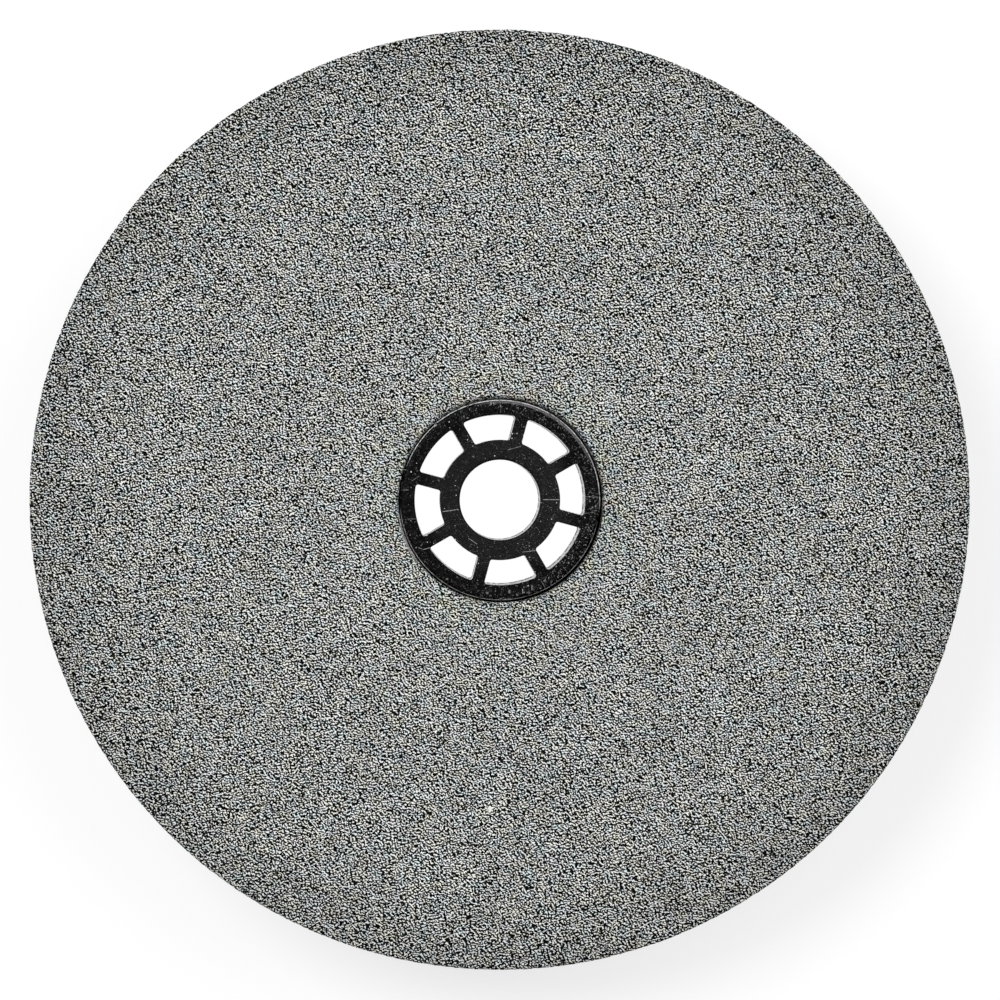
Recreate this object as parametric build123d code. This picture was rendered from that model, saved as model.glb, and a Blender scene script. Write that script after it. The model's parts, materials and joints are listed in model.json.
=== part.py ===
from build123d import *
import math
import os

# Bench grinding wheel: a plain ring of bonded abrasive grain, with a spoked
# moulded bush in its bore that brings the bore down to the spindle's size.
# Sizes are in millimetres. The spindle's axis is Z. The origin is on it, midway
# between the wheel's two faces, and the front face looks up.

# Abrasive ring
wheel_diameter = 150.0
wheel_width = 20.0
rim_edge_chamfer = 0.3
bore_edge_chamfer = 0.3

# Bush, which slides into the ring's bore
bush_diameter = 32.0
bush_clearance = 0.2  # between the bush and the ring's bore, on the radius
bush_set_back = 0.2  # from each face of the wheel down to the bush
bush_edge_chamfer = 0.5
bush_outer_wall = 2.4
bush_inner_wall = 3.2

# Spindle hole in the bush
spindle_diameter = 12.7
spindle_clearance = 0.05  # on the radius
spindle_hole_chamfer = 0.35

# Spokes, and the windows that they leave between the two walls of the bush
spoke_count = 8
spoke_width = 2.0
first_spoke_angle = 30.0  # from +X towards +Y
window_corner_radius = 0.4

# Radii and depths that follow from those sizes
bush_radius = bush_diameter / 2
bush_depth = wheel_width - 2 * bush_set_back
ring_bore_radius = bush_radius + bush_clearance
window_outer_radius = bush_radius - bush_outer_wall
spindle_hole_radius = spindle_diameter / 2 + spindle_clearance
window_inner_radius = spindle_hole_radius + bush_inner_wall
spoke_pitch = 360 / spoke_count


def turned_ring(inner_radius, outer_radius, depth):
    """The upright section of a ring about Z, as a rectangle to the right of the axis."""
    middle = (inner_radius + outer_radius) / 2
    return Pos(middle, 0) * Rectangle(outer_radius - inner_radius, depth)


def corners_at(section, radius):
    """The section's two corners that lie on a cylinder of this radius."""
    return [corner for corner in section.vertices() if abs(corner.X - radius) < 1e-6]


def make_abrasive_wheel():
    """A ring with a lightly broken edge round its rim and round its bore, at both faces."""
    rim_radius = wheel_diameter / 2
    section = turned_ring(ring_bore_radius, rim_radius, wheel_width)
    section = chamfer(corners_at(section, rim_radius), rim_edge_chamfer)
    section = chamfer(corners_at(section, ring_bore_radius), bore_edge_chamfer)
    return revolve(Plane.XZ * section, Axis.Z)


def make_bush_blank():
    """The bush before its windows, with a lead-in at both ends, outside and in the spindle hole."""
    section = turned_ring(spindle_hole_radius, bush_radius, bush_depth)
    section = chamfer(corners_at(section, bush_radius), bush_edge_chamfer)
    section = chamfer(corners_at(section, spindle_hole_radius), spindle_hole_chamfer)
    return revolve(Plane.XZ * section, Axis.Z)


def window_outline():
    """
    One window between two spokes, centred on +X: the flat ring between the two
    walls, cut to the wedge whose sides run parallel to the spokes' middle lines
    and half a spoke's width off them.
    """
    ring = Circle(window_outer_radius) - Circle(window_inner_radius)
    half_pitch = math.radians(spoke_pitch / 2)
    apex = spoke_width / 2 / math.sin(half_pitch)
    reach = 2 * window_outer_radius
    wedge = Polygon(
        (apex, 0),
        (apex + reach, -reach * math.tan(half_pitch)),
        (apex + reach, reach * math.tan(half_pitch)),
        align=None,
    )
    outline = ring & wedge
    return fillet(outline.vertices(), window_corner_radius)


def make_reducing_bush():
    """The blank less one window between each two spokes, straight through its depth."""
    window = extrude(window_outline(), bush_depth / 2, both=True)
    first_window = first_spoke_angle + spoke_pitch / 2
    windows = [Rot(0, 0, first_window + i * spoke_pitch) * window for i in range(spoke_count)]
    return make_bush_blank() - windows


parts = {
    "abrasive_wheel": make_abrasive_wheel(),
    "reducing_bush": make_reducing_bush(),
}

os.makedirs("parts", exist_ok=True)
for name, shape in parts.items():
    shape.label = name
    export_step(shape, f"parts/{name}.step")
    print(name, "volume", round(shape.volume / 1000, 3), "cm3, solids", len(shape.solids()))
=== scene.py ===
import json
import math
import bmesh
import bpy
import numpy as np
from mathutils import Matrix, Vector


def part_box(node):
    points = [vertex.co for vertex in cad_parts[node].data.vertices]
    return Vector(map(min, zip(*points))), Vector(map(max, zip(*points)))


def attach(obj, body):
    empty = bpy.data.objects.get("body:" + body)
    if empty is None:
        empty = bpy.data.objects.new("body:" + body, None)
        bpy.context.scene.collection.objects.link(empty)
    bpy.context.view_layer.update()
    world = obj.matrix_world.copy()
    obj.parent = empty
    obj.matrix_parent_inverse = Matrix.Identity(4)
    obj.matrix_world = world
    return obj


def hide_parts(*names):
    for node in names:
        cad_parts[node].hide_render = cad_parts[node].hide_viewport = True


# A bench grinding wheel with a spoked bush in its bore, lying on its back face.
# Metres. The wheel's axis is Z and its centre is the origin, as in the frame.

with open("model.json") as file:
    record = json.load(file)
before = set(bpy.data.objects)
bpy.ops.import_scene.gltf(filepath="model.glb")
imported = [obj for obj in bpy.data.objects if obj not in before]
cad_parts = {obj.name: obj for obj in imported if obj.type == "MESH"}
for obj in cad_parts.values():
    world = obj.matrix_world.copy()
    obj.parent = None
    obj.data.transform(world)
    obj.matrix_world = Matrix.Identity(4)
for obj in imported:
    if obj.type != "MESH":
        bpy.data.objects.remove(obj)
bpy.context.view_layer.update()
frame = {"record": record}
mm = 0.001
wheelLow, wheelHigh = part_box("abrasive_wheel")
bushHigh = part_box("reducing_bush")[1]
bushRadius, bushTop = bushHigh[0] / mm, bushHigh[2] / mm      # in millimetres, for the materials
spindleHole = next(mount for mount in frame["record"]["mounts"] if mount["name"] == "spindle_hole")
print("frame loaded")


# Meshes from grids of points

def gridFaces(rows, columns, closeRows, closeColumns):
    # Each face joins a point to the next in its row and the two beside them in the next row
    row = np.arange(rows if closeRows else rows - 1)[:, None]
    column = np.arange(columns if closeColumns else columns - 1)[None, :]
    nextRow, nextColumn = (row + 1) % rows, (column + 1) % columns
    corners = [row * columns + column, row * columns + nextColumn,
               nextRow * columns + nextColumn, nextRow * columns + column]
    return np.stack(np.broadcast_arrays(*corners), axis=-1).reshape(-1, 4)


def addObject(name, data):
    thing = bpy.data.objects.new(name, data)
    bpy.context.scene.collection.objects.link(thing)
    return thing


def addPiece(name, points, faces, material, smooth):
    # One object at the origin from an array of points and an array of four-cornered faces
    mesh = bpy.data.meshes.new(name)
    mesh.from_pydata(points, [], faces.tolist())
    mesh.polygons.foreach_set("use_smooth", np.full(len(faces), smooth))
    mesh.materials.append(material)
    mesh.update()
    return addObject(name, mesh)


def closeSeams(piece, reach):
    # Merges the points that lie within this distance, so that the grids' edges join
    shape = bmesh.new()
    shape.from_mesh(piece.data)
    bmesh.ops.remove_doubles(shape, verts=shape.verts, dist=reach)
    bmesh.ops.recalc_face_normals(shape, faces=shape.faces)
    shape.to_mesh(piece.data)
    shape.free()


def turned(section, angles):
    # Carries a section of radii and heights round Z: x = r cos a, y = r sin a, z = z
    radius, height = section[:, 0:1], section[:, 1:2]
    x, y = radius * np.cos(angles), radius * np.sin(angles)
    return np.stack([x, y, np.broadcast_to(height, x.shape)], axis=-1)


def closedNoise(random, rows, columns, blur):
    # White noise on a grid that closes on itself both ways, blurred by a bell
    # curve of this many samples, with an average of 0 and a spread of 1
    field = random.standard_normal((rows, columns))
    along = np.fft.fftfreq(rows)[:, None] ** 2 + np.fft.fftfreq(columns)[None, :] ** 2
    field = np.fft.ifft2(np.fft.fft2(field) * np.exp(-2 * (np.pi * blur) ** 2 * along)).real
    return (field - field.mean()) / field.std()


# Helpers for shader nodes

def addNode(tree, kind, inputs=None, **settings):
    node = tree.nodes.new(kind)
    for key, value in settings.items():
        setattr(node, key, value)
    for key, value in (inputs or {}).items():
        if isinstance(value, bpy.types.NodeSocket):
            tree.links.new(value, node.inputs[key])
        else:
            node.inputs[key].default_value = value
    return node


def newMaterial(name, specular):
    material = bpy.data.materials.new(name)
    material.use_nodes = True
    surface = material.node_tree.nodes["Principled BSDF"].inputs
    surface["Specular IOR Level"].default_value = specular
    return material, material.node_tree, surface


def calc(tree, operation, a, b=0.0, clamp=False):
    node = addNode(tree, "ShaderNodeMath", {0: a, 1: b}, operation=operation, use_clamp=clamp)
    return node.outputs[0]


def product(tree, *values):
    result = values[0]
    for value in values[1:]:
        result = calc(tree, "MULTIPLY", result, value)
    return result


def largest(tree, *values):
    result = values[0]
    for value in values[1:]:
        result = calc(tree, "MAXIMUM", result, value)
    return result


def remap(tree, value, low, high, newLow=0.0, newHigh=1.0, smooth=False):
    # Carries low to newLow and high to newHigh, and holds those two beyond the ends
    values = {"Value": value, "From Min": low, "From Max": high, "To Min": newLow, "To Max": newHigh}
    kind = "SMOOTHSTEP" if smooth else "LINEAR"
    return addNode(tree, "ShaderNodeMapRange", values, interpolation_type=kind).outputs["Result"]


def centred(tree, value, width):
    # A value from 0 to 1 becomes one about 0, with this width from end to end
    return product(tree, calc(tree, "SUBTRACT", value, 0.5), width)


def band(tree, value, low, high, fade):
    # 1 from low to high, falling to 0 over the fade outside them
    rise = remap(tree, value, calc(tree, "SUBTRACT", low, fade), low)
    fall = remap(tree, value, high, calc(tree, "ADD", high, fade), 1.0, 0.0)
    return product(tree, rise, fall)


def blendColour(tree, share, a, b):
    # Sockets 0, 6 and 7 of a Mix node are its factor and its two colours
    return addNode(tree, "ShaderNodeMix", {0: share, 6: a, 7: b}, data_type="RGBA").outputs[2]


def vectorCalc(tree, operation, a, b=(0, 0, 0)):
    return addNode(tree, "ShaderNodeVectorMath", {0: a, 1: b}, operation=operation).outputs[0]


def measured(tree, operation, a, b=(0, 0, 0)):
    # A length, a distance or a dot product, each of which is one number
    return addNode(tree, "ShaderNodeVectorMath", {0: a, 1: b}, operation=operation).outputs["Value"]


def scaled(tree, vector, factor):
    return addNode(tree, "ShaderNodeVectorMath", {0: vector, 3: factor}, operation="SCALE").outputs[0]


def flattened(tree, vector):
    return vectorCalc(tree, "MULTIPLY", vector, (1, 1, 0))


def separated(tree, vector):
    return addNode(tree, "ShaderNodeSeparateXYZ", {0: vector}).outputs


def combined(tree, x, y, z=0.0):
    return addNode(tree, "ShaderNodeCombineXYZ", {0: x, 1: y, 2: z}).outputs[0]


def channels(tree, colour):
    return addNode(tree, "ShaderNodeSeparateColor", {0: colour}).outputs


def noise(tree, place, size, detail=2.0, roughness=0.5):
    # size is the width of a blotch, in the place's own units
    values = {"Vector": place, "Scale": 1 / size, "Detail": detail, "Roughness": roughness}
    return addNode(tree, "ShaderNodeTexNoise", values).outputs


def blotches(tree, place, size, span, detail=2.0, roughness=0.5):
    # Noise carried over a span: two of its values and what these become
    return remap(tree, noise(tree, place, size, detail, roughness)["Fac"], *span)


def cells(tree, place, size, dimensions):
    # Cells round points that are about this far apart
    values = {"Vector": scaled(tree, place, 1 / size), "Scale": 1.0}
    return addNode(tree, "ShaderNodeTexVoronoi", values, voronoi_dimensions=dimensions).outputs


def addBump(tree, surface, height, depth, strength):
    values = {"Strength": strength, "Distance": depth, "Height": height}
    tree.links.new(addNode(tree, "ShaderNodeBump", values).outputs["Normal"], surface["Normal"])


def makeArcGroup():
    # A group that both materials use, for what lies along an arc: its mask is 1 between two
    # radii, within Reach degrees of the Bearing. The cosine of the angle from the bearing is
    # the dot product of two unit vectors
    group = bpy.data.node_groups.new("arcMask", "ShaderNodeTree")
    group.interface.new_socket("Place", in_out="INPUT", socket_type="NodeSocketVector")
    for name in ("Bearing", "Reach", "Turn Fade", "Inner", "Outer", "Radius Fade"):
        group.interface.new_socket(name, in_out="INPUT", socket_type="NodeSocketFloat")
    group.interface.new_socket("Mask", in_out="OUTPUT", socket_type="NodeSocketFloat")
    given = addNode(group, "NodeGroupInput").outputs
    flat = flattened(group, given["Place"])
    bearing = calc(group, "RADIANS", given["Bearing"])
    ray = combined(group, calc(group, "COSINE", bearing), calc(group, "SINE", bearing))
    cosine = measured(group, "DOT_PRODUCT", vectorCalc(group, "NORMALIZE", flat), ray)
    full = calc(group, "RADIANS", given["Reach"])
    none = calc(group, "RADIANS", calc(group, "ADD", given["Reach"], given["Turn Fade"]))
    along = remap(group, cosine, calc(group, "COSINE", none), calc(group, "COSINE", full))
    radius = measured(group, "LENGTH", flat)
    across = band(group, radius, given["Inner"], given["Outer"], given["Radius Fade"])
    addNode(group, "NodeGroupOutput", {"Mask": product(group, along, across)})
    return group


arcGroup = makeArcGroup()


def arcMask(tree, place, bearing, reach, turnFade, inner, outer, radiusFade):
    values = {"Place": place, "Bearing": bearing, "Reach": reach, "Turn Fade": turnFade,
              "Inner": inner, "Outer": outer, "Radius Fade": radiusFade}
    return addNode(tree, "ShaderNodeGroup", values, node_tree=arcGroup).outputs["Mask"]


# The abrasive ring

wheelLook = {
    "clearance": 0.2 * mm,        # from the bush to the bore
    "edgeChamfer": 0.3 * mm,
    "boreShift": 0.14 * mm,       # how far the bore's middle lies off the bush's
    "boreShiftAngle": -50.0,
    "boreShiftReach": 8.0 * mm,   # and how far out from the bore the shift goes
    "segments": 1240,
    "boreRows": 4,                # rows are for half of the section
    "faceRows": 12,
    "chamferRows": 2,
    "rimRows": 20,
    "wallAbove": 0.9,             # the section is a wall where its normal's radial part is above this
    "wallRoughness": 0.04 * mm,
    "edgeRoughness": 0.11 * mm,
    "edgeReach": 0.5 * mm,
    "chipDepth": 0.12 * mm,
    "chipsAbove": 1.7,            # chips break out where their random field is above this
    "wallBlur": 0.45,             # blurs of the random fields, in steps of the grid
    "edgeBlur": 0.8,
    "chipBlur": 1.6,
    "seed": 11,
}
grainLook = {
    # Sizes and radii are in millimetres, but for the depth of the bump
    "fineSize": 0.44,
    "fineShare": 30.0,
    "coarseSize": 0.65,
    "coarseShare": 10.0,
    "ripples": 1.2,               # ripples across the patch that each one fills
    "lean": 0.3,                  # how much they follow one direction
    "turn": -1.15,                # and that direction
    "press": 1.15,                # how much flatter they are one way
    "crystalSize": 0.145,
    "crystalShare": 2.0,
    "crystalSlope": 0.8,          # a crystal's height falls to 0 this far from its middle
    "middle": -0.8,               # brightness between the ripples, where 0 is black and 1 white
    # Painted shade: this and the next four darken the grain towards the rim, where the light falls off
    "rimShadedMiddle": -1.165,          # the same at the rim
    "rimShadedMiddleCurve": 1.6,
    "paintedShadeFrom": 54.0,
    "rimPaintedShade": 0.83,             # brightness left at the rim
    "paintedShadeCurve": 3.0,
    "boreLift": 0.29,             # added to the middle beside the bush
    "boreLiftTo": 34.0,
    "backShift": 400.0,           # so that the back face isn't the front one's twin
    "wallBelow": 0.6,             # the skin is a wall where its normal points up less than this
    "gamma": 2.2,
    "cast": (-0.0049, 0.0125, -0.0076),
    "paleGrain": (0.97, 1.0, 0.965, 1),
    "tintSize": 1.9,
    "warmTint": 0.15,
    "warmLean": (1.0, 0.26, -1.0),
    "greenTint": 0.055,
    "greenLean": (-0.5, 1.0, -0.5),
    "mottle": dict(size=7.0, detail=3.0, roughness=0.6, span=(0.25, 0.75, 0.91, 1.09)),
    # Painted shade: beside the bush the grain's colour is scaled down to this, out to the next radius
    "borePaintedShade": 0.84,            # brightness left beside the bush
    "borePaintedShadeTo": 17.2,
    "boreContrast": 0.84,         # and contrast
    "boreMiddle": 0.56,           # around this brightness
    "boreContrastTo": 22.0,
    # Painted shadows beside the bore: bearing and half its reach in degrees, fade, width in
    # millimetres and strength
    "paintedEdgeShadows": [(40.0, 50.0, 60.0, 0.35, 0.5), (318.0, 28.0, 12.0, 0.2, 0.85)],
    "edgeFade": 0.3,
    # A smooth smear on the bore's edge: bearing, half its reach and fade, all in degrees
    "smearArc": (205.0, 7.0, 5.0),
    "smearWidth": 0.3,
    "smearColour": (0.42, 0.40, 0.395, 1),
    "smearPatches": dict(size=0.6, span=(0.3, 0.55, 0.3, 0.85)),
    "paleSpeck": (-1.6, -49.2),   # the place of one large pale grain
    "speckCore": 0.28,
    "speckRadius": 0.42,
    "specular": 0.1,
    "darkRoughness": 0.85,
    "paleRoughness": 0.5,
    "bumpDepth": 0.08 * mm,
}


def wheelSection(look, boreRadius, rimRadius, halfWidth):
    # The section as a closed run of radii and heights: up the bore, out over the
    # front face, down the rim, and back under. The lower half mirrors the upper
    cut = look["edgeChamfer"]
    wallTop = halfWidth - cut
    bore = (np.arange(look["boreRows"]) + 0.5) / look["boreRows"] * wallTop
    rim = wallTop - (np.arange(look["rimRows"]) + 0.5) / look["rimRows"] * wallTop
    corner = np.linspace(0, 1, look["chamferRows"])
    across = (1 - np.cos(np.pi * np.linspace(0, 1, look["faceRows"] + 2)[1:-1])) / 2
    inner, outer = boreRadius + cut, rimRadius - cut
    radii = [np.full(bore.shape, boreRadius), boreRadius + cut * corner,
             inner + (outer - inner) * across, outer + cut * corner, np.full(rim.shape, rimRadius)]
    heights = [bore, wallTop + cut * corner, np.full(across.shape, halfWidth),
               halfWidth - cut * corner, rim]
    upper = np.stack([np.concatenate(radii), np.concatenate(heights)], axis=1)
    lower = upper[::-1] * (1, -1)
    return np.concatenate([upper, lower])


def makeWheel(look, material):
    # The section carried round, then sunk along its own normal by the size of a
    # random field: deeper at the four edges, where single chips break out too
    rimRadius, halfWidth = wheelHigh[0], wheelHigh[2]
    boreRadius = bushHigh[0] + look["clearance"]
    section = wheelSection(look, boreRadius, rimRadius, halfWidth)
    angles = np.linspace(0, 2 * np.pi, look["segments"], endpoint=False)[None, :]
    points = turned(section, angles)

    tangent = np.roll(section, -1, axis=0) - np.roll(section, 1, axis=0)
    normal = np.stack([-tangent[:, 1], tangent[:, 0]], axis=1)
    normal /= np.linalg.norm(normal, axis=1, keepdims=True)
    edges = np.array([[boreRadius, halfWidth], [rimRadius, halfWidth]])
    folded = section * (1, 0) + np.abs(section) * (0, 1)
    away = np.linalg.norm(folded[:, None, :] - edges[None, :, :], axis=2).min(axis=1)
    atEdge = np.exp(-((away / look["edgeReach"]) ** 2))[:, None]
    onWall = (np.abs(normal[:, 0:1]) > look["wallAbove"]).astype(float)

    random = np.random.default_rng(look["seed"])
    shape = (len(section), look["segments"])
    fine = np.abs(closedNoise(random, *shape, look["wallBlur"]))
    rough = np.abs(closedNoise(random, *shape, look["edgeBlur"]))
    chips = np.maximum(closedNoise(random, *shape, look["chipBlur"]) - look["chipsAbove"], 0)
    depth = look["wallRoughness"] * onWall * fine
    depth = depth + atEdge * (look["edgeRoughness"] * rough + look["chipDepth"] * chips)
    points = points - depth[..., None] * turned(normal, angles)

    # The bore lies a little off the bush's middle, so that the gap round the bush is uneven
    shiftAngle = math.radians(look["boreShiftAngle"])
    shift = look["boreShift"] * np.array([math.cos(shiftAngle), math.sin(shiftAngle)])
    fromBore = np.linalg.norm(points[..., :2], axis=2) - boreRadius
    points[..., :2] += np.clip(1 - fromBore / look["boreShiftReach"], 0, 1)[..., None] * shift

    faces = gridFaces(*shape, True, True)[:, ::-1]
    piece = addPiece("abrasiveRing", points.reshape(-1, 3), faces, material, False)
    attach(piece, "root")
    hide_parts("abrasive_wheel")


def skinPlace(tree, inMm, normal, look):
    # Flat coordinates on the skin: x and y on the two faces, and the way round and z on
    # the rim and in the bore, where the way round is the radius times the angle
    split = separated(tree, inMm)
    facing = separated(tree, normal)[2]
    behind = product(tree, calc(tree, "LESS_THAN", facing, 0.0), look["backShift"])
    onFace = combined(tree, calc(tree, "ADD", split[0], behind), split[1])
    angle = calc(tree, "ARCTAN2", split[1], split[0])
    radius = measured(tree, "LENGTH", flattened(tree, inMm))
    onWall = combined(tree, product(tree, angle, radius), split[2])
    wall = calc(tree, "LESS_THAN", calc(tree, "ABSOLUTE", facing), look["wallBelow"])
    # Sockets 4 and 5 of a Mix node are its two vectors
    values = {0: wall, 4: onFace, 5: onWall}
    return addNode(tree, "ShaderNodeMix", values, data_type="VECTOR").outputs[1]


def rippled(tree, place, size, share, look):
    # Ripples of this width about 0, in patches that each go their own way
    values = {"Vector": place, "Scale": 1 / (size * look["ripples"]), "Frequency": look["ripples"],
              "Anisotropy": look["lean"], "Orientation": 0.0}
    return centred(tree, addNode(tree, "ShaderNodeTexGabor", values).outputs["Value"], share)


def grainPattern(tree, inMm, normal, shift, look):
    # Brightness and height of the grain. Crystals are cells that stand up in their middles,
    # and each takes its brightness from fine and coarse ripples at its own middle, plus a shift
    values = {"Vector": skinPlace(tree, inMm, normal, look), "Rotation": (0.0, 0.0, look["turn"]),
              "Scale": (1.0, look["press"], 1.0)}
    place = addNode(tree, "ShaderNodeMapping", values).outputs[0]
    crystal = cells(tree, place, look["crystalSize"], "2D")
    middle = scaled(tree, crystal["Position"], look["crystalSize"])
    fine = rippled(tree, middle, look["fineSize"], look["fineShare"], look)
    coarse = rippled(tree, middle, look["coarseSize"], look["coarseShare"], look)
    own = centred(tree, channels(tree, crystal["Color"])["Red"], look["crystalShare"])
    level = calc(tree, "ADD", calc(tree, "ADD", fine, coarse), own)
    level = calc(tree, "ADD", level, shift, clamp=True)
    return level, remap(tree, crystal["Distance"], 0.0, look["crystalSlope"], 1.0, 0.0)


def tinted(tree, inMm, level, look):
    # Patches of grain lean to blue or olive tan, and to green or pink. The lean is added
    # to the brightness, which is then raised to the gamma
    leaning = channels(tree, noise(tree, inMm, look["tintSize"], 1.0)["Color"])
    warm = scaled(tree, look["warmLean"], centred(tree, leaning["Red"], look["warmTint"]))
    green = scaled(tree, look["greenLean"], centred(tree, leaning["Green"], look["greenTint"]))
    display = vectorCalc(tree, "ADD", combined(tree, level, level, level), look["cast"])
    display = vectorCalc(tree, "ADD", display, vectorCalc(tree, "ADD", warm, green))
    display = vectorCalc(tree, "MAXIMUM", display, (0.0, 0.0, 0.0))
    display = vectorCalc(tree, "MINIMUM", display, (1.0, 1.0, 1.0))
    return addNode(tree, "ShaderNodeGamma", {"Color": display, "Gamma": look["gamma"]}).outputs[0]


def withEdgeShadowsAndMarks(tree, inMm, colour, look):
    # Painted shadow darkens the bore's broken edge on two sides, and the edge carries a smear on a
    # third.
    # There is one large pale grain
    boreRadius = bushRadius + wheelLook["clearance"] / mm
    for bearing, reach, fade, width, strength in look["paintedEdgeShadows"]:
        shadow = arcMask(tree, inMm, bearing, reach, fade, 0.0, boreRadius + width, look["edgeFade"])
        colour = scaled(tree, colour, remap(tree, shadow, 0.0, 1.0, 1.0, 1 - strength))
    smearEnd = boreRadius + look["smearWidth"]
    smear = arcMask(tree, inMm, *look["smearArc"], 0.0, smearEnd, look["edgeFade"])
    smear = product(tree, smear, blotches(tree, inMm, **look["smearPatches"]))
    colour = blendColour(tree, smear, colour, look["smearColour"])
    toSpeck = measured(tree, "DISTANCE", inMm, (*look["paleSpeck"], wheelHigh[2] / mm))
    speck = remap(tree, toSpeck, look["speckCore"], look["speckRadius"], 1.0, 0.0)
    return blendColour(tree, speck, colour, look["paleGrain"])


def makeGrainMaterial(look):
    material, tree, surface = newMaterial("bondedGrainGrey", look["specular"])
    coordinates = addNode(tree, "ShaderNodeTexCoord").outputs
    inMm = scaled(tree, coordinates["Object"], 1 / mm)
    radius = measured(tree, "LENGTH", flattened(tree, inMm))

    # Painted shade: the grain is darker towards the rim, where the light falls off, and it is a little
    # lighter towards the bush
    towardsRim = remap(tree, radius, look["paintedShadeFrom"], wheelHigh[0] / mm)
    rimCurve = calc(tree, "POWER", towardsRim, look["rimShadedMiddleCurve"])
    middleWithRimShade = remap(tree, rimCurve, 0.0, 1.0, look["middle"], look["rimShadedMiddle"])
    boreShift = remap(tree, radius, bushRadius, look["boreLiftTo"], look["boreLift"], 0.0)
    shift = calc(tree, "ADD", middleWithRimShade, boreShift)
    level, height = grainPattern(tree, inMm, coordinates["Normal"], shift, look)

    # Beside the bush it is flatter too: its brightness is drawn towards a middle one
    contrast = remap(tree, radius, bushRadius, look["boreContrastTo"], look["boreContrast"], 1.0)
    away = calc(tree, "SUBTRACT", level, look["boreMiddle"])
    level = calc(tree, "ADD", product(tree, away, contrast), look["boreMiddle"])

    # Broad mottling, a line of painted shade beside the bush, and painted shade towards the rim
    mottle = blotches(tree, inMm, **look["mottle"])
    borePaintedShade = remap(tree, radius, bushRadius, look["borePaintedShadeTo"], look["borePaintedShade"], 1.0, True)
    shadeCurve = calc(tree, "POWER", towardsRim, look["paintedShadeCurve"])
    rimPaintedShade = remap(tree, shadeCurve, 0.0, 1.0, 1.0, look["rimPaintedShade"])
    colour = scaled(tree, tinted(tree, inMm, level, look), product(tree, mottle, borePaintedShade, rimPaintedShade))
    tree.links.new(withEdgeShadowsAndMarks(tree, inMm, colour, look), surface["Base Color"])

    roughness = remap(tree, level, 0.0, 1.0, look["darkRoughness"], look["paleRoughness"])
    tree.links.new(roughness, surface["Roughness"])
    addBump(tree, surface, height, look["bumpDepth"], 1.0)
    return material


makeWheel(wheelLook, makeGrainMaterial(grainLook))
print("abrasive ring made")


# The bush

bushLook = {
    "windowOuter": 13.6 * mm,
    "windowInner": 9.6 * mm,
    "windowCorner": 0.4 * mm,
    "spokes": 8,
    "spokeWidth": 2.0 * mm,
    "firstSpoke": 30.0,
    "edgeChamfer": 0.5 * mm,
    "holeChamfer": 0.35 * mm,
    "windowEdge": 0.07 * mm,      # the rounding where a window meets the front face
    "backEdge": 0.22 * mm,        # and the back face
    "edgeTurns": (22.5, 45, 67.5, 90),                  # where a rounding's rows lie, in degrees
    "chamferEdge": 0.14 * mm,     # the rounding at each end of a chamfer
    "chamferSteps": 5,
    "faceShares": (0.03, 0.15, 0.4, 0.7, 0.96, 1.0),    # and a face's, from window to border
    "outerSteps": 14,             # steps along half of a window
    "cornerSteps": 3,
    "sideSteps": 6,
    "innerSteps": 10,
    "depthRows": 8,
    # Where the moulding's gate was trimmed off the outer edge, and the burrs beside the
    # cut. The first five are in degrees
    "gateFrom": 131.0,
    "gateTo": 161.0,
    "gateFade": 0.5,
    "burrWidth": 1.1,
    "burrOffset": 1.5,
    "gateCut": 0.13 * mm,
    "gateBurr": 0.05 * mm,
    "gateDepth": 4.0 * mm,
    "seam": 0.002 * mm,           # points closer than this become one
}


def windowOutline(look, grow):
    # Half of a window's edge, from the middle of its outer arc to the middle of
    # its inner arc: each point is a centre plus a radius along a normal. The two
    # long arcs have the axis as centre, and the corners' centres lie where a
    # circle meets a line beside the spoke. grow pushes the edge into the wall
    half = math.pi / look["spokes"]
    corner = look["windowCorner"]
    outerRadius, innerRadius = look["windowOuter"] - corner, look["windowInner"] + corner
    beside = look["spokeWidth"] / 2 + corner
    outerAngle = half - math.asin(beside / outerRadius)
    innerAngle = half - math.asin(beside / innerRadius)
    sideNormal = half + math.pi / 2
    along = lambda start, end, steps: np.linspace(start, end, steps + 1)[:-1]
    normal = np.concatenate([
        along(0, outerAngle, look["outerSteps"]),
        along(outerAngle, sideNormal, 2 * look["cornerSteps"]),
        np.full(look["sideSteps"], sideNormal),
        along(sideNormal, math.pi + innerAngle, 2 * look["cornerSteps"]),
        math.pi + np.linspace(innerAngle, 0, look["innerSteps"] + 1),
    ])
    centreRadius = np.concatenate([
        np.full(look["outerSteps"] + 2 * look["cornerSteps"], outerRadius),
        np.zeros(look["sideSteps"]),
        np.full(2 * look["cornerSteps"] + look["innerSteps"] + 1, innerRadius),
    ])
    centreAngle = np.concatenate([
        along(0, outerAngle, look["outerSteps"]),
        np.full(2 * look["cornerSteps"], outerAngle),
        np.zeros(look["sideSteps"]),
        np.full(2 * look["cornerSteps"], innerAngle),
        np.linspace(innerAngle, 0, look["innerSteps"] + 1),
    ])
    centre = np.stack([centreRadius * np.cos(centreAngle), centreRadius * np.sin(centreAngle)], axis=1)
    first = look["outerSteps"] + 2 * look["cornerSteps"]
    start = outerRadius * np.array([math.cos(outerAngle), math.sin(outerAngle)])
    end = innerRadius * np.array([math.cos(innerAngle), math.sin(innerAngle)])
    share = np.arange(look["sideSteps"])[:, None] / look["sideSteps"]
    centre[first:first + look["sideSteps"]] = start + (end - start) * share
    return centre + (corner + grow) * np.stack([np.cos(normal), np.sin(normal)], axis=1)


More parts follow.
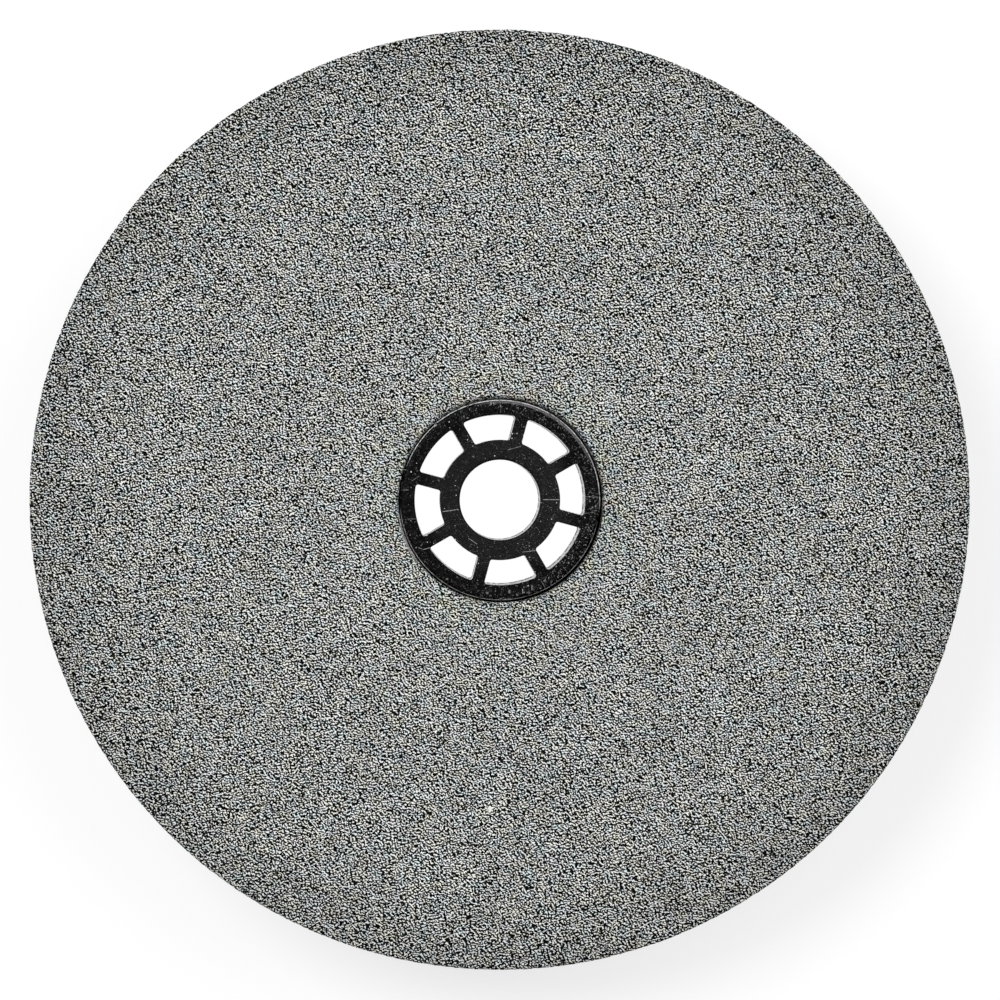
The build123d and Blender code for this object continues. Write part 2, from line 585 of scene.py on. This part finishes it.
def sectorBorder(look, outerRadius, innerRadius):
    # The border of half of a spoke-to-spoke sector, with as many points as the
    # window's edge: out on the outer circle to the spoke's middle line, in
    # along that line, and back on the inner circle
    half = math.pi / look["spokes"]
    outerCount = look["outerSteps"] + look["cornerSteps"]
    sideCount = 2 * look["cornerSteps"] + look["sideSteps"]
    innerCount = look["cornerSteps"] + look["innerSteps"]
    angle = np.concatenate([np.linspace(0, half, outerCount + 1)[:-1], np.full(sideCount, half),
                            np.linspace(half, 0, innerCount + 1)])
    radius = np.concatenate([np.full(outerCount, outerRadius),
                             np.linspace(outerRadius, innerRadius, sideCount + 1)[:-1],
                             np.full(innerCount + 1, innerRadius)])
    return np.stack([radius * np.cos(angle), radius * np.sin(angle)], axis=1)


def wholeLoop(halfLoop):
    # The half run and its mirror image in the X axis, as one closed run
    return np.concatenate([halfLoop, halfLoop[-2:0:-1] * (1, -1)])


def softCorners(points, reach, steps):
    # A run of straight lines whose inner corners are replaced by parabolas that
    # start and end this far from the corner
    before, corner, after = points[:-2], points[1:-1], points[2:]
    towards = lambda a, b: (b - a) / np.linalg.norm(b - a, axis=1, keepdims=True)
    start = corner + towards(corner, before) * reach
    end = corner + towards(corner, after) * reach
    t = np.linspace(0, 1, steps)[None, :, None]
    bends = (1 - t) ** 2 * start[:, None] + 2 * t * (1 - t) * corner[:, None] + t ** 2 * end[:, None]
    return np.concatenate([points[:1], bends.reshape(-1, 2), points[-1:]])


def windowSector(look, faceOuter, faceInner, halfDepth):
    # One spoke-to-spoke sector as a grid that runs round its window: up the window's
    # wall, over a quarter circle, and out over the face to the sector's border.
    # The lower half is the same with a rounder edge, turned upside down
    border = wholeLoop(sectorBorder(look, faceOuter, faceInner))
    halves = []
    for edge in (look["backEdge"], look["windowEdge"]):
        rows = []
        for height in np.linspace(0, halfDepth - edge, look["depthRows"]):
            rows.append((wholeLoop(windowOutline(look, 0.0)), height))
        for turn in np.radians(look["edgeTurns"]):
            loop = wholeLoop(windowOutline(look, edge * (1 - math.cos(turn))))
            rows.append((loop, halfDepth - edge * (1 - math.sin(turn))))
        inside = rows[-1][0]
        for share in look["faceShares"]:
            rows.append((inside + (border - inside) * share, halfDepth))
        halves.append(np.array([np.column_stack([loop, np.full(len(loop), height)])
                                for loop, height in rows]))
    return np.concatenate([halves[0][:0:-1] * (1, 1, -1), halves[1]])


def edgeBand(look, faceRadius, wallRadius, chamfer, halfDepth, steps):
    # The turned band from the front face over its chamfer, down a wall and back under
    reach = look["chamferEdge"] * (1 if wallRadius > faceRadius else -1)
    run = np.array([(faceRadius - reach, halfDepth), (faceRadius, halfDepth),
                    (wallRadius, halfDepth - chamfer), (wallRadius, 0)])
    section = softCorners(run, look["chamferEdge"], look["chamferSteps"])[1:]
    section = np.concatenate([section, section[-2::-1] * (1, -1)])
    angles = math.radians(look["firstSpoke"]) + np.linspace(0, 2 * math.pi, steps, endpoint=False)
    return turned(section, angles[None, :])


def trimGate(look, points, faceOuter, outerRadius):
    # Draws the outer edge in between two angles, with a burr at each end: the cut
    # fades out over the depth from the front face and inwards to the flat face
    angle = np.degrees(np.arctan2(points[:, 1], points[:, 0]))
    radius = np.linalg.norm(points[:, :2], axis=1)
    ramp = lambda edge: 1 / (1 + np.exp(-np.clip((angle - edge) / look["gateFade"], -50, 50)))
    burr = lambda edge: np.exp(-((angle - edge) / look["burrWidth"]) ** 2)
    first, last = look["gateFrom"] - look["burrOffset"], look["gateTo"] + look["burrOffset"]
    cut = look["gateCut"] * (ramp(look["gateFrom"]) - ramp(look["gateTo"]))
    cut = cut - look["gateBurr"] * (burr(first) + burr(last))
    deep = np.clip((points[:, 2] - bushHigh[2] + look["gateDepth"]) / look["gateDepth"], 0, 1)
    out = np.clip((radius - faceOuter) / (outerRadius - faceOuter), 0, 1)
    factor = 1 - cut * deep * out / radius
    return points * np.stack([factor, factor, np.ones_like(factor)], axis=1)


def makeBush(look, material):
    # Eight like sectors, and two turned bands that close the outside and the spindle hole
    halfDepth, outerRadius = bushHigh[2], bushHigh[0]
    holeRadius = spindleHole["dims"]["r_mm"] * mm
    faceOuter = outerRadius - look["edgeChamfer"]
    faceInner = holeRadius + look["holeChamfer"]
    reach = look["chamferEdge"]
    sector = windowSector(look, faceOuter - reach, faceInner + reach, halfDepth)
    points, faces, count = [], [], 0
    for i in range(look["spokes"]):
        angle = math.radians(look["firstSpoke"]) + (i + 0.5) * 2 * math.pi / look["spokes"]
        spin = np.array([[math.cos(angle), math.sin(angle), 0],
                         [-math.sin(angle), math.cos(angle), 0],
                         [0, 0, 1]])
        points.append(sector.reshape(-1, 3) @ spin)
        faces.append(gridFaces(*sector.shape[:2], False, True) + count)
        count += sector.shape[0] * sector.shape[1]

    outerCount = 2 * look["spokes"] * (look["outerSteps"] + look["cornerSteps"])
    innerCount = 2 * look["spokes"] * (look["innerSteps"] + look["cornerSteps"])
    outside = edgeBand(look, faceOuter, outerRadius, look["edgeChamfer"], halfDepth, outerCount)
    hole = edgeBand(look, faceInner, holeRadius, look["holeChamfer"], halfDepth, innerCount)
    for strip in (outside, hole):
        points.append(strip.reshape(-1, 3))
        faces.append(gridFaces(*strip.shape[:2], False, True) + count)
        count += strip.shape[0] * strip.shape[1]
    points = trimGate(look, np.concatenate(points), faceOuter, outerRadius)
    piece = addPiece("spokedBush", points, np.concatenate(faces), material, True)
    closeSeams(piece, look["seam"])
    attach(piece, "root")
    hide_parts("reducing_bush")


plasticLook = {
    "colour": (0.0012, 0.0011, 0.0012, 1),
    "hazeColour": (0.016, 0.0153, 0.0164, 1),
    # The next is a painted sheen, for light reflected off the outer chamfer
    "paintedSheenColour": (0.27, 0.26, 0.28, 1),
    "dustColour": (0.85, 0.85, 0.85, 1),
    "scratchColour": (0.5, 0.5, 0.5, 1),
    # The next is a painted highlight along the outer edge
    "edgeHighlightColour": (1.0, 0.99, 0.98, 1),
    "specular": 0.07,
    "upFacing": (0.2, 0.5),       # how far up a wall's normal points at most, and a face's at least
    # Noise has a size in millimetres. Its span is two of its values and what these become
    "bloom": dict(size=1.1, detail=4.0, roughness=0.65),
    "bloomHaze": (0.48, 0.75, 0.0, 0.5),
    "bloomRoughness": (0.35, 0.7, 0.31, 0.47),
    "hubHaze": (10.0, 12.5, 0.6, 0.0),                  # two radii and the haze at each
    "grit": dict(size=0.2, roughness=0.7, span=(0.38, 0.62, 0.0, 2.0)),
    # Arcs: bearing, half the reach and fade in degrees. Where there are three more, they are
    # the inner and outer edges in millimetres out from the bush's radius, and their fade
    "paintedSheenArc": (62.0, 24.0, 20.0, -0.5, -0.25, 0.1),
    "paintedSheenPatches": dict(size=0.16, detail=3.0, roughness=0.8, span=(0.42, 0.62)),
    "dustyArc": (5.0, 85.0, 40.0),                      # the side with the most dust and streaks
    # Painted highlight along the outer edge: its arcs, then its heights and patches
    "edgeHighlightArcs": [((77.0, 76.0, 8.0, -0.55, 1.0, 0.05), 1.0),
                 ((266.0, 72.0, 10.0, -0.08, 1.0, 0.03), 0.8)],
    "edgeHighlightHeights": (-0.72, -0.35, 0.03),                # from and to, above the top, and fade
    "edgeHighlightPatches": dict(size=0.5, detail=4.0, roughness=0.75, span=(0.38, 0.56, 0.15, 1.0)),
    # Dust and streaks: spacing and size in millimetres, and the share of cells that have one
    "streaks": (0.16, 0.05, 0.5),
    "fineDust": (0.18, 0.065, 0.22),
    "coarseDust": (0.9, 0.095, 0.28),
    "wallDustAndSheen": (0.45, 0.15, 0.6),
    "streakRadius": 14.5,         # streaks have their true spacing round the axis here
    "streakStretch": 0.3,         # and this share of it outwards, which draws them out
    "streakSides": (0.25, 1.0),   # strength on the clean side and on the dusty one
    "fineDustSides": (0.4, 1.4),
    "outwards": (13.0, 15.5, 0.15, 1.0),                # two radii and the share of dust at each
    "streakPatches": dict(size=2.6, span=(0.38, 0.66, 0.3, 1.0)),
    "dustClumps": dict(size=0.8, detail=3.0, roughness=0.6, span=(0.46, 0.64, 0.06, 1.0)),
    "brokenLines": dict(size=0.3, detail=1.0, span=(0.3, 0.6, 0.35, 1.0)),
    "wallRoughness": 0.08,
    "scuffStretch": (1.0, 1.0, 0.15),
    "scuffs": dict(size=0.4, detail=3.0, roughness=0.7, span=(0.4, 0.75, 0.0, 0.3)),
    "dashHeights": (-0.55, -0.25, 1.0),                 # from and to in shares of the top's, and fade
    "dashes": dict(size=0.7, span=(0.42, 0.5, 0.0, 0.5)),
    "markedRoughness": 0.8,
    "ripple": dict(size=0.33, detail=3.0),
    "markedHeight": 0.6,
    "bumpStrength": 0.6,
    "bumpDepth": 0.02 * mm,
    # Scratches and knit lines: start and end in millimetres, width, strength
    "lines": [
        ((6.9, 0.05), (9.4, 0.05), 0.13, 0.9),
        ((-9.1, -1.85), (-6.65, -1.5), 0.13, 0.9),
        ((1.3, 8.0), (3.3, 8.55), 0.11, 0.7),
        ((3.6, -8.3), (5.8, -8.05), 0.12, 0.8),
        ((-13.0, -7.6), (-12.2, -7.9), 0.10, 0.6),
        ((-12.2, -7.9), (-11.2, -7.6), 0.12, 0.8),
        ((-14.1, 3.0), (-12.9, 3.8), 0.10, 0.4),
        ((13.8, 0.5), (15.4, 0.5), 0.10, 0.45),
        ((13.4, -2.2), (15.2, -1.9), 0.10, 0.35),
        ((-15.7, 1.6), (-14.6, 1.6), 0.12, 0.5),
        ((-15.2, -3.1), (-13.4, -3.0), 0.10, 0.35),
        ((0.1, 13.9), (0.15, 15.1), 0.10, 0.35),
        ((5.1, -14.3), (5.1, -13.6), 0.13, 0.8),
        ((3.6, -14.9), (3.6, -14.2), 0.14, 0.9),
        ((4.6, -15.0), (4.7, -14.8), 0.15, 0.9),
        ((7.2, -14.0), (6.6, -12.9), 0.10, 0.4),
        ((-5.2, 9.2), (-4.2, 9.7), 0.08, 0.3),
        ((-5.0, -6.1), (-3.7, -7.0), 0.16, 0.6),
        ((-8.5, -12.6), (-8.4, -12.6), 0.40, 0.35),
        ((-2.1, -14.8), (-2.0, -14.9), 0.45, 0.3),
        ((1.5, -14.5), (1.5, -14.7), 0.45, 0.7),
        ((7.1, -12.9), (7.2, -12.9), 0.45, 0.4),
        ((-10.5, 11.7), (-10.1, 12.0), 0.22, 0.9),
        ((12.75, -9.0), (12.95, -9.2), 0.35, 0.6),
        ((0.4, -15.9), (1.8, -15.8), 0.15, 0.8),
    ],
}


def lineMark(tree, flat, start, end, width):
    # 1 on the straight line from start to end, 0 from about half the width away: by the
    # distance to the nearest point on it, start + (end - start) t with t from 0 to 1
    span = np.subtract(end, start)
    away = vectorCalc(tree, "SUBTRACT", flat, (*start, 0.0))
    along = measured(tree, "DOT_PRODUCT", away, (*(span / (span @ span)), 0.0))
    share = calc(tree, "MINIMUM", calc(tree, "MAXIMUM", along, 0.0), 1.0)
    distance = measured(tree, "DISTANCE", away, scaled(tree, (*span, 0.0), share))
    return remap(tree, distance, width * 0.1, width * 0.55, 1.0, 0.0, smooth=True)


def dust(tree, place, spacing, size, share, dimensions):
    # Round specks in this share of the cells, each with its own brightness and from 0.5
    # to 1.3 times the size. A speck fades from half of its radius out
    spots = cells(tree, place, spacing, dimensions)
    chance = channels(tree, spots["Color"])
    reach = remap(tree, chance["Green"], 0.0, 1.0, 0.5 * size / spacing, 1.3 * size / spacing)
    near = remap(tree, calc(tree, "DIVIDE", spots["Distance"], reach), 0.5, 1.0, 1.0, 0.0)
    there = calc(tree, "LESS_THAN", chance["Red"], share)
    return product(tree, near, there, calc(tree, "POWER", chance["Blue"], 1.3))


def rimArc(tree, place, bearing, reach, turnFade, inner, outer, radiusFade):
    # An arc whose two edges are counted out from the bush's radius
    return arcMask(tree, place, bearing, reach, turnFade,
                   bushRadius + inner, bushRadius + outer, radiusFade)


def makePlasticMaterial(look):
    material, tree, surface = newMaterial("blackMouldedPlastic", look["specular"])
    coordinates = addNode(tree, "ShaderNodeTexCoord").outputs
    inMm = scaled(tree, coordinates["Object"], 1 / mm)
    flat = flattened(tree, inMm)
    radius = measured(tree, "LENGTH", flat)
    height = separated(tree, inMm)[2]
    facing = calc(tree, "ABSOLUTE", separated(tree, coordinates["Normal"])[2])
    onWall = remap(tree, facing, *look["upFacing"], 1.0, 0.0)
    onFace = calc(tree, "SUBTRACT", 1.0, onWall)
    front = calc(tree, "GREATER_THAN", height, 0.0)

    # Haze: cloudy grey bloom on the moulded skin, thicker on the hub
    bloom = noise(tree, inMm, **look["bloom"])["Fac"]
    hub = remap(tree, radius, *look["hubHaze"])
    haze = calc(tree, "ADD", remap(tree, bloom, *look["bloomHaze"]), hub)
    haze = product(tree, haze, blotches(tree, inMm, **look["grit"]))
    colour = blendColour(tree, haze, look["colour"], look["hazeColour"])

    # Painted sheen: a reflection of light painted along the outer chamfer on one side
    cloudy = blotches(tree, inMm, **look["paintedSheenPatches"])
    paintedSheen = product(tree, rimArc(tree, inMm, *look["paintedSheenArc"]), cloudy)
    colour = blendColour(tree, paintedSheen, colour, look["paintedSheenColour"])

    # Short streaks drawn out along the radius: specks in cells whose sides are a
    # way round the axis and a share of the way out from it
    dusty = arcMask(tree, inMm, *look["dustyArc"], 0.0, bushRadius, 1.0)
    split = separated(tree, flat)
    around = product(tree, calc(tree, "ARCTAN2", split[1], split[0]), look["streakRadius"])
    polar = combined(tree, around, product(tree, radius, look["streakStretch"]))
    outer = remap(tree, radius, *look["outwards"])
    streak = product(tree, dust(tree, polar, *look["streaks"], "2D"), onFace, outer)
    streak = product(tree, streak, remap(tree, dusty, 0.0, 1.0, *look["streakSides"]),
                     blotches(tree, inMm, **look["streakPatches"]))
    colour = blendColour(tree, streak, colour, look["scratchColour"])

    # Scratches and knit lines on the front face
    marks = 0.0
    for start, end, width, strength in look["lines"]:
        mark = product(tree, lineMark(tree, flat, start, end, width), strength)
        marks = largest(tree, marks, mark)
    marks = product(tree, marks, front, blotches(tree, inMm, **look["brokenLines"]))
    colour = blendColour(tree, marks, colour, look["scratchColour"])

    # Painted highlight: a pale line of light along the outer edge, broader along one side and fainter
    # along the other
    low, high, fade = look["edgeHighlightHeights"]
    edge = band(tree, calc(tree, "ABSOLUTE", height), bushTop + low, bushTop + high, fade)
    sides = 0.0
    for arc, strength in look["edgeHighlightArcs"]:
        sides = largest(tree, sides, product(tree, rimArc(tree, inMm, *arc), strength))
    edgeHighlight = product(tree, edge, sides, blotches(tree, inMm, **look["edgeHighlightPatches"]))
    colour = blendColour(tree, edgeHighlight, colour, look["edgeHighlightColour"])

    # Grinding dust: specks on both faces, most on the dusty side, and some on the walls, where they
    # are partly dust and partly painted reflection that lightens the walls
    dustier = remap(tree, product(tree, dusty, outer), 0.0, 1.0, *look["fineDustSides"])
    fine = product(tree, dust(tree, flat, *look["fineDust"], "2D"), dustier,
                   blotches(tree, inMm, **look["dustClumps"]))
    coarse = dust(tree, flat, *look["coarseDust"], "2D")
    specks = product(tree, largest(tree, fine, coarse), onFace)
    specks = largest(tree, specks, product(tree, dust(tree, inMm, *look["wallDustAndSheen"], "3D"), onWall))
    colour = blendColour(tree, specks, colour, look["dustColour"])
    tree.links.new(colour, surface["Base Color"])

    # The walls are smoother, but for scuffs drawn out along them and a broken line low down
    scuffPlace = vectorCalc(tree, "MULTIPLY", inMm, look["scuffStretch"])
    scuffs = blotches(tree, scuffPlace, **look["scuffs"])
    low, high, fade = look["dashHeights"]
    dashes = product(tree, band(tree, height, low * bushTop, high * bushTop, fade),
                     blotches(tree, flat, **look["dashes"]))
    onWalls = calc(tree, "ADD", calc(tree, "ADD", scuffs, dashes), look["wallRoughness"])
    marked = largest(tree, specks, marks, streak)
    smooth = remap(tree, onWall, 0.0, 1.0, remap(tree, bloom, *look["bloomRoughness"]), onWalls)
    roughness = remap(tree, marked, 0.0, 1.0, smooth, look["markedRoughness"])
    tree.links.new(roughness, surface["Roughness"])
    ripple = product(tree, noise(tree, inMm, **look["ripple"])["Fac"], onFace)
    relief = calc(tree, "ADD", ripple, product(tree, marked, look["markedHeight"]))
    addBump(tree, surface, relief, look["bumpDepth"], look["bumpStrength"])
    return material


makeBush(bushLook, makePlasticMaterial(plasticLook))
print("bush made")


# Floor, light and camera

studio = {
    "floorSize": 6.0,
    "floorRoughness": 0.9,
    "floorColour": 0.86,          # for the light that the floor throws back
    "shownColour": 0.29,          # what a look at the floor has of the light and shadow on it
    "glow": 0.74,                 # and what it has of plain white
    "glowFrom": 60 * mm,
    "glowTo": 72 * mm,
    "farFrom": 250 * mm,          # plain white takes over from here, where the lamps fade
    "farTo": 1500 * mm,
    "glowBeneath": 1.0,           # the same under the bush, seen through its windows
    "beneathFrom": 14.3 * mm,
    "beneathTo": 15.2 * mm,
    "ambient": 0.32,
    # Name, power in watts, diameter and place
    "lamps": [("keyLamp", 39.8, 1.4, (-1.16, 0.9, 2.0)), ("fillLamp", 19.4, 1.8, (1.36, 0.9, 1.6))],
    "cameraPlace": (-13.8 * mm, 8.9 * mm, 1120.0 * mm),
    "frameWidth": 159.4 * mm,     # what the picture's width covers at the front face
    "sensor": 36.0,
    "clipping": (0.05, 50.0),
}


def seenDirectly(tree):
    # 1 where the camera, a reflection or a see-through surface looks at it
    path = addNode(tree, "ShaderNodeLightPath").outputs
    return largest(tree, path["Is Camera Ray"], path["Is Glossy Ray"], path["Is Transmission Ray"])


def makeFloor(look):
    half, level = look["floorSize"] / 2, wheelLow[2]
    points = [(-half, -half, level), (half, -half, level), (half, half, level), (-half, half, level)]
    material, tree, surface = newMaterial("whiteGround", 0.0)
    surface["Roughness"].default_value = look["floorRoughness"]
    surface["Emission Color"].default_value = (1, 1, 1, 1)
    seen = seenDirectly(tree)
    own = remap(tree, seen, 0.0, 1.0, look["floorColour"], look["shownColour"])
    tree.links.new(own, surface["Base Color"])
    place = addNode(tree, "ShaderNodeTexCoord").outputs["Object"]
    radius = measured(tree, "LENGTH", flattened(tree, place))
    around = remap(tree, radius, look["glowFrom"], look["glowTo"])
    beneath = remap(tree, radius, look["beneathFrom"], look["beneathTo"], look["glowBeneath"], 0.0)
    far = remap(tree, radius, look["farFrom"], look["farTo"], look["glow"], 1.0)
    glow = largest(tree, product(tree, around, far), beneath)
    tree.links.new(product(tree, seen, glow), surface["Emission Strength"])
    floor = addPiece("floor", points, np.array([[0, 1, 2, 3]]), material, False)


def aim(thing, place, target):
    # Stands a lamp or camera at a place, with its -Z towards the target and its Y upwards
    # in the picture
    back = np.array(place, float) - np.array(target, float)
    back /= np.linalg.norm(back)
    right = np.cross((0, 1, 0), back)
    right /= np.linalg.norm(right)
    up = np.cross(back, right)
    thing.matrix_world = Matrix([*np.column_stack([right, up, back, place]).tolist(), (0, 0, 0, 1)])


def makeLamp(name, power, size, place):
    data = bpy.data.lights.new(name, "AREA")
    data.shape = "DISK"
    data.size = size
    data.energy = power
    aim(addObject(name, data), place, (0, 0, 0))


def makeLight(look):
    world = bpy.data.worlds.new("studioWhite")
    bpy.context.scene.world = world
    world.use_nodes = True
    tree = world.node_tree
    background = tree.nodes["Background"].inputs
    seen = addNode(tree, "ShaderNodeLightPath").outputs["Is Camera Ray"]
    tree.links.new(remap(tree, seen, 0.0, 1.0, look["ambient"], 1.0), background["Strength"])
    background["Color"].default_value = (1, 1, 1, 1)
    for lamp in look["lamps"]:
        makeLamp(*lamp)


def makeCamera(look):
    data = bpy.data.cameras.new("camera")
    target = (0, 0, wheelHigh[2])
    data.sensor_width = look["sensor"]
    data.lens = look["sensor"] * math.dist(look["cameraPlace"], target) / look["frameWidth"]
    data.clip_start, data.clip_end = look["clipping"]
    camera = addObject("camera", data)
    aim(camera, look["cameraPlace"], target)
    bpy.context.scene.camera = camera


makeFloor(studio)
makeLight(studio)
makeCamera(studio)
bpy.context.scene.view_settings.view_transform = "Standard"
print("floor, lamps and camera set")
